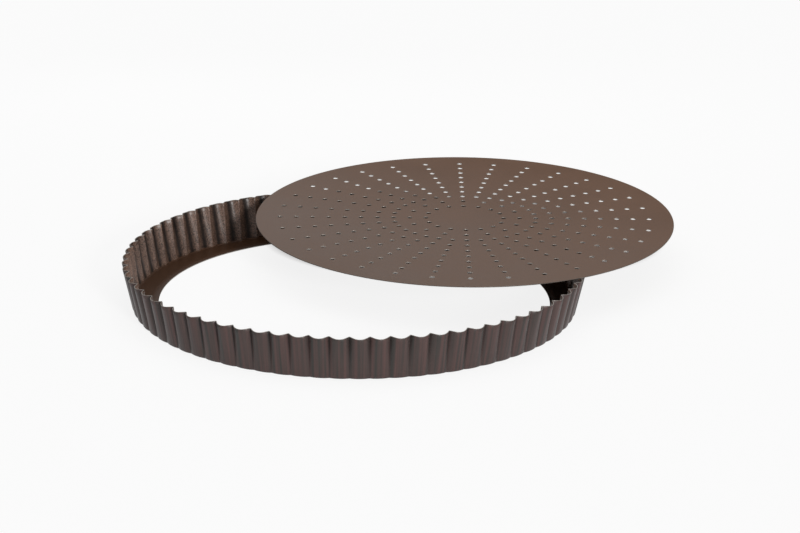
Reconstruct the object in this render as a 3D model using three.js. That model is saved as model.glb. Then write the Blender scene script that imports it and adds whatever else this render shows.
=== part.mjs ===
// Fluted tart pan in two loose pieces: a drawn sheet-steel ring with an inward ledge at its foot,
// and a flat perforated base that is lifted out and lies across the ring's rim, off to one side.
// Millimetres, +Z up.
import * as THREE from 'three';

// Driving dimensions of the ring
const RIM_RADIUS = 139.7; // outside of the rim, on the crest of a flute
const WALL_HEIGHT = 26.7; // at the cusps between the flutes
const RIM_WAVE = 0.6; // how far the rim dips from a cusp to a crest
const FOOT_RADIUS = 133.8; // where the sloping outside would meet the table
const LEDGE_INNER_RADIUS = 118;
const FOOT_BEND_RADIUS = 1.6; // outside of the bend between ledge and wall
const FLUTE_COUNT = 74;
const RIM_FLUTE_DEPTH = 3.2;
const FOOT_FLUTE_DEPTH = 0.8;
const FLANK_BULGE = 0.8; // 0 makes the flanks of the pleats flat
const CUSP_SOFTNESS = 0.06; // rounding of the inner edges of the pleats
const CREST_SOFTNESS = 0.4; // rounding of the outer edges of the pleats

// Driving dimensions of the base
const BASE_RADIUS = 130.6;
const HOLE_RADIUS = 1.6;
const HOLE_PITCH = 10.15; // along a row
const OUTER_HOLE_CIRCLE = 115.6; // radius of the circle through the outermost holes
const ROW_COUNT = 32; // radial rows of holes, long and short in turn
const LONG_ROW_HOLES = 10;
const SHORT_ROW_HOLES = 8;

// Both pieces are pressed from the same sheet
const SHEET_THICKNESS = 0.5;

// Where the base lies, seen from the ring's axis
const BASE_TO_THE_RIGHT = 67.1;
const BASE_TO_THE_BACK = 79.9;
const BASE_TURN = THREE.MathUtils.degToRad(1);
const REST_GAP = 0.1; // between the rim and the base lying on it

// Fineness of the facets
const STEPS_PER_FLUTE = 6;
const CUSP_CROWDING = 0.5; // 0 spaces the facets of a flute evenly, near 1 gathers them at the cusps
const BEND_STEPS = 2;
const BASE_SIDES = 96;
const HOLE_SIDES = 6;

// Section through the sheet on a flute's crest, as a closed outline of radius and height
function sheetOutline() {
  const flare = Math.atan2(RIM_RADIUS - FOOT_RADIUS, WALL_HEIGHT);
  const bendAngle = 0.5 * Math.PI - flare;
  const bendStart = FOOT_RADIUS - FOOT_BEND_RADIUS * Math.tan(0.5 * bendAngle);
  const rimInside = RIM_RADIUS - SHEET_THICKNESS / Math.cos(flare);

  function bend(radius) {
    const arc = new THREE.EllipseCurve(
      bendStart, FOOT_BEND_RADIUS, radius, radius, -0.5 * Math.PI, -flare, false,
    );
    return arc.getPoints(BEND_STEPS);
  }

  return [
    new THREE.Vector2(LEDGE_INNER_RADIUS, 0),
    ...bend(FOOT_BEND_RADIUS),
    new THREE.Vector2(RIM_RADIUS, WALL_HEIGHT),
    new THREE.Vector2(rimInside, WALL_HEIGHT),
    ...bend(FOOT_BEND_RADIUS - SHEET_THICKNESS).reverse(),
    new THREE.Vector2(LEDGE_INNER_RADIUS, SHEET_THICKNESS),
    new THREE.Vector2(LEDGE_INNER_RADIUS, 0),
  ];
}

// A share from 0 to 1 whose corner at 0 is rounded
function softened(share, softness) {
  return (Math.hypot(share, softness) - softness) / (Math.hypot(1, softness) - softness);
}

// How far the sheet is drawn in from the crests, at an angle counted from the front, where a cusp lies.
// The pleats deepen in straight lines from the foot to the rim.
function fluteInset(angle, rise) {
  const flutes = (FLUTE_COUNT * angle) / (2 * Math.PI);
  const fromCusp = 1 - Math.abs(2 * THREE.MathUtils.euclideanModulo(flutes, 1) - 1);
  const flank = 1 - softened(1 - softened(fromCusp, CUSP_SOFTNESS), CREST_SOFTNESS);
  const pleat = flank * (1 + FLANK_BULGE * (1 - flank));
  return (1 - pleat) * THREE.MathUtils.lerp(FOOT_FLUTE_DEPTH, RIM_FLUTE_DEPTH, rise);
}

// The facets of each flute are moved round the ring towards its two cusps
function crowdedAngle(angle) {
  const flutes = (FLUTE_COUNT * angle) / (2 * Math.PI);
  const crowded = flutes - (CUSP_CROWDING * Math.sin(2 * Math.PI * flutes)) / (2 * Math.PI);
  return (2 * Math.PI * crowded) / FLUTE_COUNT;
}

// The flutes run out across the flat ledge, and the rim dips a little from each cusp to the crest
function flutedRingGeometry() {
  const geometry = new THREE.LatheGeometry(sheetOutline(), FLUTE_COUNT * STEPS_PER_FLUTE);
  geometry.rotateX(0.5 * Math.PI);
  const places = geometry.attributes.position;
  const point = new THREE.Vector3();
  const ledgeWidth = FOOT_RADIUS - FOOT_BEND_RADIUS - LEDGE_INNER_RADIUS;
  for (let index = 0; index < places.count; index += 1) {
    point.fromBufferAttribute(places, index);
    const radius = Math.hypot(point.x, point.y);
    const angle = crowdedAngle(Math.atan2(point.x, -point.y));
    const rise = THREE.MathUtils.clamp(point.z / WALL_HEIGHT, 0, 1);
    const ledgeShare = THREE.MathUtils.clamp((radius - LEDGE_INNER_RADIUS) / ledgeWidth, 0, 1);
    const drawn = radius - ledgeShare * fluteInset(angle, rise);
    const dip = point.z > FOOT_BEND_RADIUS ? RIM_WAVE * Math.sin(0.5 * FLUTE_COUNT * angle) ** 2 : 0;
    places.setXYZ(index, drawn * Math.sin(angle), -drawn * Math.cos(angle), point.z - rise * dip);
  }
  geometry.computeVertexNormals();
  return geometry;
}

function circlePoints(centreX, centreY, radius, sides) {
  return Array.from({ length: sides }, (_, side) => {
    const angle = (2 * Math.PI * side) / sides;
    return new THREE.Vector2(centreX + radius * Math.cos(angle), centreY + radius * Math.sin(angle));
  });
}

function perforatedBaseGeometry() {
  const outline = new THREE.Shape(circlePoints(0, 0, BASE_RADIUS, BASE_SIDES));
  for (let row = 0; row < ROW_COUNT; row += 1) {
    const direction = (2 * Math.PI * row) / ROW_COUNT;
    const holesInRow = row % 2 === 0 ? LONG_ROW_HOLES : SHORT_ROW_HOLES;
    for (let hole = 0; hole < holesInRow; hole += 1) {
      const reach = OUTER_HOLE_CIRCLE - hole * HOLE_PITCH;
      const centreX = reach * Math.cos(direction);
      const centreY = reach * Math.sin(direction);
      outline.holes.push(new THREE.Path(circlePoints(centreX, centreY, HOLE_RADIUS, HOLE_SIDES)));
    }
  }
  return new THREE.ExtrudeGeometry(outline, { depth: SHEET_THICKNESS, bevelEnabled: false });
}

const ring = new THREE.Mesh(
  flutedRingGeometry(),
  new THREE.MeshStandardMaterial({ color: 0x5a4a44, roughness: 0.42, metalness: 0.35 }),
);
ring.name = 'fluted_ring';

const base = new THREE.Mesh(
  perforatedBaseGeometry(),
  new THREE.MeshStandardMaterial({ color: 0x6e5d55, roughness: 0.5, metalness: 0.35 }),
);
base.name = 'perforated_base';
base.position.set(BASE_TO_THE_RIGHT, BASE_TO_THE_BACK, WALL_HEIGHT + REST_GAP);
base.rotation.z = BASE_TURN;

// The origin is under the middle of the whole footprint, on the table
const pan = new THREE.Group();
pan.add(ring, base);
const footprintCentre = new THREE.Box3().setFromObject(pan, true).getCenter(new THREE.Vector3());
pan.position.set(-footprintCentre.x, -footprintCentre.y, 0);

export default pan;
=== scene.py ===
import math

import bmesh
import bpy
from mathutils import Matrix, Quaternion, Vector


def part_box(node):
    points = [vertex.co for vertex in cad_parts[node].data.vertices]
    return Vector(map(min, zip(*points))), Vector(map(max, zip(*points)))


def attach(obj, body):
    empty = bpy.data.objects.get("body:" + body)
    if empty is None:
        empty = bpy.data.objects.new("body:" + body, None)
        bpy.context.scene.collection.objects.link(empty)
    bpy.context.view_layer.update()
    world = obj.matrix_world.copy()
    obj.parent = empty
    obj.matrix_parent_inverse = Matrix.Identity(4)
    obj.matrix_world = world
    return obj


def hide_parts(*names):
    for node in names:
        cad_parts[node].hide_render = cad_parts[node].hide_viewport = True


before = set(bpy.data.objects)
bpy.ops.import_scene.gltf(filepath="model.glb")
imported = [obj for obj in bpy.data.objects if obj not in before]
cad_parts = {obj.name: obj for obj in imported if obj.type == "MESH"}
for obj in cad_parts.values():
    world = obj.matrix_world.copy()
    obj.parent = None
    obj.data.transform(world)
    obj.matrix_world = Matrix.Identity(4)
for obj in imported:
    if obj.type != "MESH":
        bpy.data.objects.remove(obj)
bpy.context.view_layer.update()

MM = 0.001

# Sizes that the solids give
ring_low, ring_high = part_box("fluted_ring")
base_low, base_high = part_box("perforated_base")
RING_AXIS = Vector(((ring_low.x + ring_high.x) / 2, (ring_low.y + ring_high.y) / 2, 0))
RIM_RADIUS = (ring_high.x - ring_low.x) / 2
WALL_HEIGHT = ring_high.z - ring_low.z
BASE_CENTRE = (base_low + base_high) / 2
BASE_RADIUS = (base_high.x - base_low.x) / 2
SHEET_THICKNESS = base_high.z - base_low.z

# Sizes of the ring's sheet and flutes
FOOT_RADIUS = 133.8 * MM  # where the sloping outside would meet the table
LEDGE_INNER_RADIUS = 118 * MM
FOOT_BEND_RADIUS = 1.6 * MM  # outside of the bend between ledge and wall
FLUTE_COUNT = 74
RIM_FLUTE_DEPTH = 3.2 * MM
FOOT_FLUTE_DEPTH = 0.8 * MM
RIM_WAVE = 0.6 * MM  # how far the rim dips from a cusp to a crest
FLANK_BULGE = 0.8  # 0 makes the flanks of the pleats flat
CUSP_SOFTNESS = 0.06  # rounding of the inner edges of the pleats
CREST_SOFTNESS = 0.4  # rounding of the outer edges of the pleats

# Sizes of the base's holes
HOLE_RADIUS = 1.6 * MM
HOLE_PITCH = 10.15 * MM  # along a row
OUTER_HOLE_CIRCLE = 115.6 * MM  # radius of the circle through the outermost holes
ROW_COUNT = 32  # radial rows of holes, long and short in turn
LONG_ROW_HOLES = 10
SHORT_ROW_HOLES = 8
BASE_TURN = math.radians(1)

# Fineness of the meshes
STEPS_PER_FLUTE = 24
CUSP_CROWDING = 0.6  # 0 spaces the sections of a flute evenly, near 1 gathers them at the cusps
SLOPE_STEP = 0.1  # share of an even section over which the sheet's slope is measured
BEND_STEPS = 5
WALL_STEPS = 9
LEDGE_STEPS = 3
EDGE_ROUND = 0.08 * MM  # rounding of the cut edges
BASE_SIDES = 360
HOLE_SIDES = 24
WELD_DISTANCE = 0.002 * MM

# Texture of the coatings
BLOTCH_SCALE = 28
GRAIN_SCALE = 1300
STREAK_SCALES = (420, 9, 1)  # close together round the ring and long down the wall
SCRATCH_SCALE = 1500
GLOSS_SWING = 0.06
PLAIN_BUMP = 0.15
SPECKLE_BUMP = 0.3
GRAIN_HEIGHT = 0.06 * MM
# Painted shade: the fold lines of the coatings are darkened where shadow falls in them.
FOOT_PAINTED_SHADE_SHARE = 0.15  # how much of the dark line along a cusp is left at the foot

# Floor and light
FLOOR_REACH = 6
FLOOR_WHITE = 0.9
FLOOR_ROUGHNESS = 0.9
FLOOR_GLOW = 0.85
# Painted shadow on the floor: an oval patch under the base where the floor's glow is held back.
SHADE_BACK = 43 * MM  # middle of the shade, behind the middle of the base
SHADE_HALF_WIDTH = 124 * MM
SHADE_HALF_DEPTH = 86 * MM
SHADE_EDGE = (0.9, 1.05)  # where the shade ends, in shares of its half width and half depth
FRONT_WALL_LIGHT = 0.4
BACK_WALL_LIGHT = 0.03
SIDE_WALL_LIGHT = 0.1
WALL_FADE = (0.25, 0.75)  # how far to the side the front and back walls give way to the side walls
OVERHEAD_LIGHT = 1.35
OVERHEAD_FALLOFF = 3  # 1 fades the overhead light evenly down to the walls, more holds it nearer the top
KEY_TURN = math.radians(24)  # from the front to the right
KEY_ELEVATION = math.radians(18)
KEY_WIDTH = math.radians(10)
KEY_STRENGTH = 2.0
CARD_PLACE = (0, 0.45, 0.22)
CARD_ROLL = math.radians(-15)
CARD_WIDTH = 0.6
CARD_HEIGHT = 0.13
CARD_LIGHT = 0.62

# Camera
CAMERA_ELEVATION = math.radians(18.93)
CAMERA_TURN = math.radians(0.245)
CAMERA_ROLL = math.radians(0.62)
CAMERA_DISTANCE = 1.863
AIM_RIGHT = 27.27 * MM
AIM_UP = 20.72 * MM
FOCAL_PIXELS = 3082  # focal length in pixels of the picture
PICTURE_WIDTH = 800
SENSOR_WIDTH = 36


def link(data, name):
    piece = bpy.data.objects.new(name, data)
    bpy.context.scene.collection.objects.link(piece)
    return piece


# Fluted ring

def middle_line():
    """Middle of the sheet on a flute's crest, as radius and height, from the ledge's edge to the rim."""
    half = SHEET_THICKNESS / 2
    flare = math.atan2(RIM_RADIUS - FOOT_RADIUS, WALL_HEIGHT)
    bend_angle = math.pi / 2 - flare
    bend_start = FOOT_RADIUS - FOOT_BEND_RADIUS * math.tan(bend_angle / 2)
    bend_radius = FOOT_BEND_RADIUS - half
    line = []
    for step in range(LEDGE_STEPS):
        share = step / LEDGE_STEPS
        line.append((LEDGE_INNER_RADIUS + share * (bend_start - LEDGE_INNER_RADIUS), half))
    for step in range(BEND_STEPS + 1):
        angle = -math.pi / 2 + bend_angle * step / BEND_STEPS
        radius = bend_start + bend_radius * math.cos(angle)
        height = FOOT_BEND_RADIUS + bend_radius * math.sin(angle)
        line.append((radius, height))
    wall_start = line[-1]
    rim = (RIM_RADIUS - half / math.cos(flare), WALL_HEIGHT)
    for step in range(1, WALL_STEPS + 1):
        share = step / WALL_STEPS
        line.append(tuple(low + share * (high - low) for low, high in zip(wall_start, rim)))
    return line


def flute_angles():
    """Angles of the sections round the ring, closer together at the cusps than on the crests."""
    angles = []
    for flute in range(FLUTE_COUNT):
        for step in range(STEPS_PER_FLUTE):
            share = step / STEPS_PER_FLUTE
            crowded = share - CUSP_CROWDING * math.sin(2 * math.pi * share) / (2 * math.pi)
            angles.append(2 * math.pi * (flute + crowded) / FLUTE_COUNT)
    return angles


def softened(share, softness):
    """Share from 0 to 1 whose corner at 0 is rounded."""
    return (math.hypot(share, softness) - softness) / (math.hypot(1, softness) - softness)


def flute_inset(angle, rise):
    """How far the sheet is drawn in from the crests, at an angle from the front, where a cusp lies.

    The pleats deepen in straight lines from the foot to the rim.
    """
    flutes = FLUTE_COUNT * angle / (2 * math.pi)
    from_cusp = 1 - abs(2 * (flutes % 1) - 1)
    flank = 1 - softened(1 - softened(from_cusp, CUSP_SOFTNESS), CREST_SOFTNESS)
    pleat = flank * (1 + FLANK_BULGE * (1 - flank))
    depth = FOOT_FLUTE_DEPTH + rise * (RIM_FLUTE_DEPTH - FOOT_FLUTE_DEPTH)
    return depth * (1 - pleat)


def sheet_point(radius, height, angle):
    """Point of the middle surface: the profile drawn in by the flutes, the rim lower on the crests."""
    rise = min(max(height / WALL_HEIGHT, 0), 1)
    ledge_width = FOOT_RADIUS - FOOT_BEND_RADIUS - LEDGE_INNER_RADIUS
    ledge_share = min(max((radius - LEDGE_INNER_RADIUS) / ledge_width, 0), 1)
    drawn = radius - ledge_share * flute_inset(angle, rise)
    wall_share = rise if height > FOOT_BEND_RADIUS else 0
    lowered = height - RIM_WAVE * wall_share * math.sin(FLUTE_COUNT * angle / 2) ** 2
    return Vector((drawn * math.sin(angle), -drawn * math.cos(angle), lowered))


def sheet_directions(line, index, angle):
    """Unit normal of the middle surface, towards the inside of the pan, and the direction up the wall."""
    before = line[max(index - 1, 0)]
    after = line[min(index + 1, len(line) - 1)]
    along = sheet_point(*after, angle) - sheet_point(*before, angle)
    turn = SLOPE_STEP * 2 * math.pi / (FLUTE_COUNT * STEPS_PER_FLUTE)
    around = sheet_point(*line[index], angle + turn) - sheet_point(*line[index], angle - turn)
    return along.cross(around).normalized(), along.normalized()


def section_at(line, angle):
    """Closed loop of points round the sheet at one angle, and the finish of each stretch of it."""
    half = SHEET_THICKNESS / 2
    outside = []
    inside = []
    for index, (radius, height) in enumerate(line):
        middle = sheet_point(radius, height, angle)
        normal, along = sheet_directions(line, index, angle)
        if index == len(line) - 1:
            normal = (normal - along * (normal.z / along.z)).normalized()
        outside.append(middle - half * normal)
        inside.append(middle + half * normal)
    rim_out, rim_in = outside.pop(), inside.pop()
    across = (rim_in - rim_out).normalized() * EDGE_ROUND
    down = Vector((0, 0, EDGE_ROUND))
    rim = [rim_out - down, rim_out + across, rim_in - across, rim_in - down]
    edge_out, edge_in = outside[0], inside[0]
    inward = (outside[1] - outside[0]).normalized() * EDGE_ROUND
    ledge = [edge_in + inward, edge_in - down, edge_out + down, edge_out + inward]
    loop = outside[1:] + rim + inside[:0:-1] + ledge
    finish = ["outside"] * len(outside[1:]) + ["edge"] * 3 + ["inside"] * (WALL_STEPS + 1)
    finish += ["ledge"] * (len(inside[1:]) - WALL_STEPS) + ["edge"] * 3 + ["outside"]
    return loop, finish


def build_ring(finishes):
    line = middle_line()
    angles = flute_angles()
    count = len(angles)
    sections = [section_at(line, angle) for angle in angles]
    finish = sections[0][1]
    size = len(finish)
    points = [point + RING_AXIS for loop, _ in sections for point in loop]
    faces = []
    kinds = []
    for step in range(count):
        following = (step + 1) % count
        for place in range(size):
            beyond = (place + 1) % size
            faces.append((step * size + place, following * size + place,
                          following * size + beyond, step * size + beyond))
            kinds.append(finish[place])
    mesh = bpy.data.meshes.new("fluted_ring_sheet")
    mesh.from_pydata(points, [], faces)
    names = list(finishes)
    for name in names:
        mesh.materials.append(finishes[name])
    for polygon, kind in zip(mesh.polygons, kinds):
        polygon.material_index = names.index(kind)
        polygon.use_smooth = True
    run = mesh.uv_layers.new(name="run")
    for polygon in mesh.polygons:
        for corner in polygon.loop_indices:
            vertex = mesh.loops[corner].vertex_index
            angle = angles[vertex // size]
            if polygon.index // size == count - 1 and vertex // size == 0:
                angle = 2 * math.pi
            run.data[corner].uv = (angle * RIM_RADIUS, mesh.vertices[vertex].co.z)
    mesh.update()
    return link(mesh, "ring_sheet")


# Perforated base

def circle_spline(curve, centre, radius, sides):
    spline = curve.splines.new("POLY")
    spline.points.add(sides - 1)
    for side, point in enumerate(spline.points):
        angle = 2 * math.pi * side / sides
        point.co = (centre[0] + radius * math.cos(angle), centre[1] + radius * math.sin(angle), 0, 1)
    spline.use_cyclic_u = True


def build_base(top_finish, under_finish, hole_finish, rim_finish):
    curve = bpy.data.curves.new("base_outline", "CURVE")
    curve.dimensions = "2D"
    curve.fill_mode = "BOTH"
    curve.extrude = SHEET_THICKNESS / 2 - EDGE_ROUND
    curve.bevel_depth = EDGE_ROUND
    curve.bevel_resolution = 1
    curve.offset = -EDGE_ROUND
    circle_spline(curve, (0, 0), BASE_RADIUS, BASE_SIDES)
    for row in range(ROW_COUNT):
        direction = 2 * math.pi * row / ROW_COUNT
        holes = SHORT_ROW_HOLES if row % 2 else LONG_ROW_HOLES
        for hole in range(holes):
            reach = OUTER_HOLE_CIRCLE - hole * HOLE_PITCH
            centre = (reach * math.cos(direction), reach * math.sin(direction))
            circle_spline(curve, centre, HOLE_RADIUS, HOLE_SIDES)
    pattern = link(curve, "base_pattern")
    graph = bpy.context.evaluated_depsgraph_get()
    mesh = bpy.data.meshes.new_from_object(pattern.evaluated_get(graph))
    bpy.data.objects.remove(pattern)
    bpy.data.curves.remove(curve)
    mesh.name = "perforated_base_sheet"
    mesh.transform(Matrix.Translation(BASE_CENTRE) @ Matrix.Rotation(BASE_TURN, 4, "Z"))
    shape = bmesh.new()
    shape.from_mesh(mesh)
    bmesh.ops.remove_doubles(shape, verts=shape.verts, dist=WELD_DISTANCE)
    bmesh.ops.recalc_face_normals(shape, faces=shape.faces)
    shape.to_mesh(mesh)
    shape.free()
    mesh.materials.clear()
    for finish in (top_finish, under_finish, hole_finish, rim_finish):
        mesh.materials.append(finish)
    for polygon in mesh.polygons:
        flat = abs(polygon.normal.z) > 0.99
        reach = (polygon.center - BASE_CENTRE).to_2d().length
        if flat:
            polygon.material_index = 0 if polygon.normal.z > 0 else 1
        else:
            polygon.use_smooth = True
            polygon.material_index = 2 if reach < OUTER_HOLE_CIRCLE + 2 * HOLE_RADIUS else 3
    return link(mesh, "base_sheet")


# Finishes

class Shading:
    """Node tree of one material, with short ways to add and join nodes."""

    def __init__(self, name):
        self.material = bpy.data.materials.new(name)
        self.material.use_nodes = True
        self.nodes = self.material.node_tree.nodes
        self.links = self.material.node_tree.links
        self.shader = self.nodes["Principled BSDF"]
        self.where = self.nodes.new("ShaderNodeTexCoord").outputs

    def feed(self, socket, value):
        if isinstance(value, bpy.types.NodeSocket):
            self.links.new(value, socket)
        else:
            socket.default_value = value

    def math(self, operation, *values):
        node = self.nodes.new("ShaderNodeMath")
        node.operation = operation
        for socket, value in zip(node.inputs, values):
            self.feed(socket, value)
        return node.outputs["Value"]

    def noise(self, vector, scale, detail):
        node = self.nodes.new("ShaderNodeTexNoise")
        node.inputs["Scale"].default_value = scale
        node.inputs["Detail"].default_value = detail
        self.links.new(vector, node.inputs["Vector"])
        return node.outputs["Fac"]

    def stretched(self, vector, scale):
        node = self.nodes.new("ShaderNodeMapping")
        node.inputs["Scale"].default_value = scale
        self.links.new(vector, node.inputs["Vector"])
        return node.outputs["Vector"]

    def ranged(self, value, low, high, to_low=0, to_high=1):
        node = self.nodes.new("ShaderNodeMapRange")
        node.inputs["From Min"].default_value = low
        node.inputs["From Max"].default_value = high
        node.inputs["To Min"].default_value = to_low
        node.inputs["To Max"].default_value = to_high
        self.links.new(value, node.inputs["Value"])
        return node.outputs["Result"]

    def ramp(self, value, dark, light):
        node = self.nodes.new("ShaderNodeValToRGB")
        node.color_ramp.elements[0].color = (*dark, 1)
        node.color_ramp.elements[1].color = (*light, 1)
        self.links.new(value, node.inputs["Fac"])
        return node.outputs["Color"]

    def dimmed(self, colour, share):
        node = self.nodes.new("ShaderNodeVectorMath")
        node.operation = "SCALE"
        self.links.new(colour, node.inputs["Vector"])
        self.feed(node.inputs["Scale"], share)
        return node.outputs["Vector"]


def painted_fold_shade(shading, on_crests, sharpness, amount):
    """Share of the colour left after the painted shade along the fold lines: the crests seen from inside,
    the cusps from outside.
    """
    split = shading.nodes.new("ShaderNodeSeparateXYZ")
    shading.links.new(shading.where["UV"], split.inputs["Vector"])
    turn = shading.math("MULTIPLY", split.outputs["X"], FLUTE_COUNT / (2 * RIM_RADIUS))
    swing = shading.math("SINE" if on_crests else "COSINE", turn)
    fold = shading.math("POWER", shading.math("ABSOLUTE", swing), sharpness)
    foot_share = 1 if on_crests else FOOT_PAINTED_SHADE_SHARE
    height = shading.ranged(split.outputs["Y"], 0, WALL_HEIGHT, foot_share, 1)
    painted_shade = shading.math("MULTIPLY", shading.math("MULTIPLY", fold, height), amount)
    return shading.math("SUBTRACT", 1, painted_shade)


def coating(name, dark, light, roughness, blotches=1, streaks=0, speckle=0, spread=0.45, specular=0.5,
            painted_folds=None, painted_light_drift=None):
    """Satin non-stick coating: uneven colour, fine grain, draw marks down the wall, and painted shade
    along the fold lines.

    The tone swings by spread on each side of its middle, and grows steadily along one direction: painted
    light, standing in for light that falls more on one side.
    """
    shading = Shading(name)
    blotch = shading.noise(shading.where["Object"], BLOTCH_SCALE, 3)
    grain = shading.noise(shading.where["Object"], GRAIN_SCALE, 1)
    middle = (blotches + streaks + speckle) / 2
    tone = shading.math("MULTIPLY", blotch, blotches)
    if streaks:
        streak = shading.noise(shading.stretched(shading.where["UV"], STREAK_SCALES), 1, 3)
        tone = shading.math("MULTIPLY_ADD", streak, streaks, tone)
    tone = shading.math("MULTIPLY_ADD", grain, speckle, tone)
    # Painted light: the tone rises steadily across the surface, standing in for light falling more on one
    # side.
    if painted_light_drift:
        slope = shading.nodes.new("ShaderNodeVectorMath")
        slope.operation = "DOT_PRODUCT"
        shading.links.new(shading.where["Object"], slope.inputs[0])
        slope.inputs[1].default_value = painted_light_drift
        tone = shading.math("ADD", tone, slope.outputs["Value"])
        middle += BASE_CENTRE.dot(painted_light_drift)
    colour = shading.ramp(shading.ranged(tone, middle - spread, middle + spread), dark, light)
    # Painted shade: the colour is darkened along the fold lines of the pleats, where shadow falls in them.
    if painted_folds:
        colour = shading.dimmed(colour, painted_fold_shade(shading, *painted_folds))
    shading.links.new(colour, shading.shader.inputs["Base Color"])
    gloss = shading.ranged(blotch, 0, 1, roughness - GLOSS_SWING, roughness + GLOSS_SWING)
    shading.links.new(gloss, shading.shader.inputs["Roughness"])
    shading.shader.inputs["Specular IOR Level"].default_value = specular
    bump = shading.nodes.new("ShaderNodeBump")
    bump.inputs["Strength"].default_value = min(PLAIN_BUMP + SPECKLE_BUMP * speckle, 1)
    bump.inputs["Distance"].default_value = GRAIN_HEIGHT
    shading.links.new(grain, bump.inputs["Height"])
    shading.links.new(bump.outputs["Normal"], shading.shader.inputs["Normal"])
    return shading.material


def bare_edge(name, dark, light):
    """Cut edge of the sheet, where the steel shows through the coating."""
    shading = Shading(name)
    scratch = shading.noise(shading.where["Object"], SCRATCH_SCALE, 2)
    shading.links.new(shading.ramp(scratch, dark, light), shading.shader.inputs["Base Color"])
    shading.shader.inputs["Metallic"].default_value = 0.6
    shading.shader.inputs["Roughness"].default_value = 0.4
    return shading.material


# The outside and inside coats carry painted shade along the cusps and crests of the flutes.
ring_finishes = {
    "outside": coating("outside_coat", (0.040, 0.0365, 0.0335), (0.086, 0.0495, 0.0455), 0.4,
                       blotches=0.1, streaks=1.6, speckle=0.1, spread=0.22, specular=0.25,
                       painted_folds=(False, 60, 0.8)),
    "inside": coating("inside_coat", (0.018, 0.010, 0.006), (0.200, 0.122, 0.090), 0.38,
                      streaks=0.2, speckle=2.0, specular=0.5, painted_folds=(True, 4, 0.9)),
    # The ledge's coat is darker than the inside coat: painted shade, besides its smoother grain.
    "ledge": coating("ledge_coat_painted_shade", (0.024, 0.009, 0.003), (0.060, 0.025, 0.009), 0.4,
                     blotches=0.3, streaks=0.3, speckle=0.2, specular=0.3),
    "edge": bare_edge("cut_edge", (0.2, 0.17, 0.15), (0.5, 0.46, 0.42)),
}
ring = build_ring(ring_finishes)
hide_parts("fluted_ring")
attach(ring, "ring")

base = build_base(
    # Painted light: the base's top is coloured lighter towards the back right, standing in for how the
    # light falls across it.
    coating("base_top_coat", (0.078, 0.0385, 0.020), (0.175, 0.0865, 0.0453), 0.32,
            blotches=0.3, speckle=0.3, painted_light_drift=(1.3, 1.0, 0)),
    coating("base_under_coat", (0.05, 0.028, 0.018), (0.075, 0.042, 0.028), 0.45, speckle=0.3),
    ring_finishes["edge"],
    bare_edge("base_rim", (0.09, 0.07, 0.06), (0.2, 0.17, 0.15)),
)
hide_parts("perforated_base")
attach(base, "base")


# Floor, lights and camera

def build_floor():
    """White floor that glows a little to the eye, except in a painted patch of shade under the middle of
    the base, where the glow is held back.
    """
    mesh = bpy.data.meshes.new("floor")
    corners = [(-FLOOR_REACH, -FLOOR_REACH, 0), (FLOOR_REACH, -FLOOR_REACH, 0),
               (FLOOR_REACH, FLOOR_REACH, 0), (-FLOOR_REACH, FLOOR_REACH, 0)]
    mesh.from_pydata(corners, [], [(0, 1, 2, 3)])
    floor = link(mesh, "floor")
    shading = Shading("floor_white")
    shading.shader.inputs["Base Color"].default_value = (FLOOR_WHITE, FLOOR_WHITE, FLOOR_WHITE, 1)
    shading.shader.inputs["Roughness"].default_value = FLOOR_ROUGHNESS
    path = shading.nodes.new("ShaderNodeLightPath").outputs
    mirrored = shading.math("MAXIMUM", path["Is Glossy Ray"], path["Is Transmission Ray"])
    seen = shading.math("MAXIMUM", path["Is Camera Ray"], mirrored)
    # Painted shadow: the glow fades out over an oval patch under the middle of the base.
    place = shading.nodes.new("ShaderNodeMapping")
    place.vector_type = "TEXTURE"
    place.inputs["Location"].default_value = (BASE_CENTRE.x, BASE_CENTRE.y + SHADE_BACK, 0)
    place.inputs["Scale"].default_value = (SHADE_HALF_WIDTH, SHADE_HALF_DEPTH, 1)
    shading.links.new(shading.where["Object"], place.inputs["Vector"])
    reach = shading.nodes.new("ShaderNodeVectorMath")
    reach.operation = "LENGTH"
    shading.links.new(place.outputs["Vector"], reach.inputs[0])
    clear = shading.ranged(reach.outputs["Value"], *SHADE_EDGE, 0, FLOOR_GLOW)
    glow = shading.nodes.new("ShaderNodeEmission")
    mix = shading.nodes.new("ShaderNodeMixShader")
    shading.links.new(shading.math("MULTIPLY", seen, clear), mix.inputs["Fac"])
    shading.links.new(shading.shader.outputs["BSDF"], mix.inputs[1])
    shading.links.new(glow.outputs["Emission"], mix.inputs[2])
    shading.links.new(mix.outputs["Shader"], shading.nodes["Material Output"].inputs["Surface"])
    mesh.materials.append(shading.material)


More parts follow.
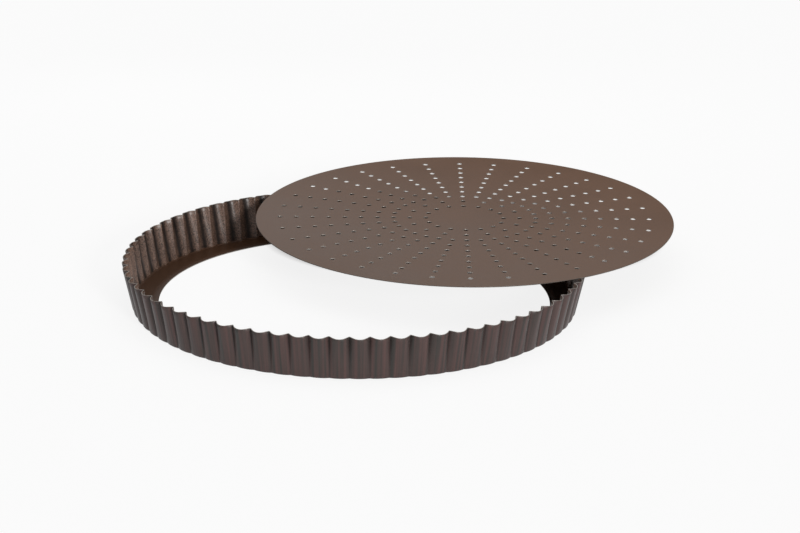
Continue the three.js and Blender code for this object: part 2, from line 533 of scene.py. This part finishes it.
def build_world():
    """Studio: bright overhead, with a pale wall in front, dim walls to the sides and a dark one behind."""
    world = bpy.data.worlds.new("studio")
    bpy.context.scene.world = world
    world.use_nodes = True
    nodes = world.node_tree.nodes
    links = world.node_tree.links
    where = nodes.new("ShaderNodeTexCoord")
    split = nodes.new("ShaderNodeSeparateXYZ")
    links.new(where.outputs["Generated"], split.inputs["Vector"])
    depth = nodes.new("ShaderNodeMapRange")
    depth.inputs["From Min"].default_value = -1
    depth.inputs["To Min"].default_value = FRONT_WALL_LIGHT
    depth.inputs["To Max"].default_value = BACK_WALL_LIGHT
    links.new(split.outputs["Y"], depth.inputs["Value"])
    sideways = nodes.new("ShaderNodeMath")
    sideways.operation = "ABSOLUTE"
    links.new(split.outputs["X"], sideways.inputs[0])
    walls = nodes.new("ShaderNodeMapRange")
    walls.inputs["From Min"].default_value = WALL_FADE[0]
    walls.inputs["From Max"].default_value = WALL_FADE[1]
    links.new(depth.outputs["Result"], walls.inputs["To Min"])
    walls.inputs["To Max"].default_value = SIDE_WALL_LIGHT
    links.new(sideways.outputs["Value"], walls.inputs["Value"])
    height = nodes.new("ShaderNodeMath")
    height.operation = "POWER"
    height.inputs[1].default_value = OVERHEAD_FALLOFF
    links.new(split.outputs["Z"], height.inputs[0])
    strength = nodes.new("ShaderNodeMapRange")
    strength.inputs["To Max"].default_value = OVERHEAD_LIGHT
    links.new(height.outputs["Value"], strength.inputs["Value"])
    links.new(walls.outputs["Result"], strength.inputs["To Min"])
    links.new(strength.outputs["Result"], nodes["Background"].inputs["Strength"])
    nodes["Background"].inputs["Color"].default_value = (1, 1, 1, 1)


def soft_light(name, turn, elevation, width, strength):
    """Distant soft light, turned from the front towards the right."""
    lamp = bpy.data.lights.new(name, "SUN")
    lamp.energy = strength
    lamp.angle = width
    light = link(lamp, name)
    across = math.cos(elevation)
    towards = Vector((math.sin(turn) * across, -math.cos(turn) * across, math.sin(elevation)))
    light.rotation_euler = towards.to_track_quat("Z", "Y").to_euler()


def light_card():
    """Pale panel behind the base, rolled so that its soft reflection greys the left of the base most."""
    lamp = bpy.data.lights.new("card", "AREA")
    lamp.shape = "RECTANGLE"
    lamp.size = CARD_WIDTH
    lamp.size_y = CARD_HEIGHT
    lamp.energy = CARD_LIGHT * math.pi * CARD_WIDTH * CARD_HEIGHT
    card = link(lamp, "card")
    card.location = CARD_PLACE
    towards_base = BASE_CENTRE - Vector(CARD_PLACE)
    facing = towards_base.to_track_quat("-Z", "Y") @ Quaternion((0, 0, 1), CARD_ROLL)
    card.rotation_euler = facing.to_euler()
    card.visible_camera = False


def build_camera():
    turn = Matrix.Rotation(CAMERA_TURN, 3, "Z")
    forward = Vector((0, math.cos(CAMERA_ELEVATION), -math.sin(CAMERA_ELEVATION)))
    up = Vector((0, math.sin(CAMERA_ELEVATION), math.cos(CAMERA_ELEVATION)))
    right = Vector((1, 0, 0))
    target = RING_AXIS + turn @ (AIM_RIGHT * right + AIM_UP * up)
    rolled_right = turn @ (right * math.cos(CAMERA_ROLL) + up * math.sin(CAMERA_ROLL))
    rolled_up = turn @ (up * math.cos(CAMERA_ROLL) - right * math.sin(CAMERA_ROLL))
    back = turn @ -forward
    data = bpy.data.cameras.new("camera")
    data.sensor_width = SENSOR_WIDTH
    data.lens = SENSOR_WIDTH * FOCAL_PIXELS / PICTURE_WIDTH
    camera = link(data, "camera")
    axes = Matrix((rolled_right, rolled_up, back)).transposed().to_4x4()
    camera.matrix_world = Matrix.Translation(target + CAMERA_DISTANCE * back) @ axes
    bpy.context.scene.camera = camera


build_floor()
build_world()
soft_light("key", KEY_TURN, KEY_ELEVATION, KEY_WIDTH, KEY_STRENGTH)
light_card()
build_camera()
bpy.context.scene.view_settings.view_transform = "Standard"
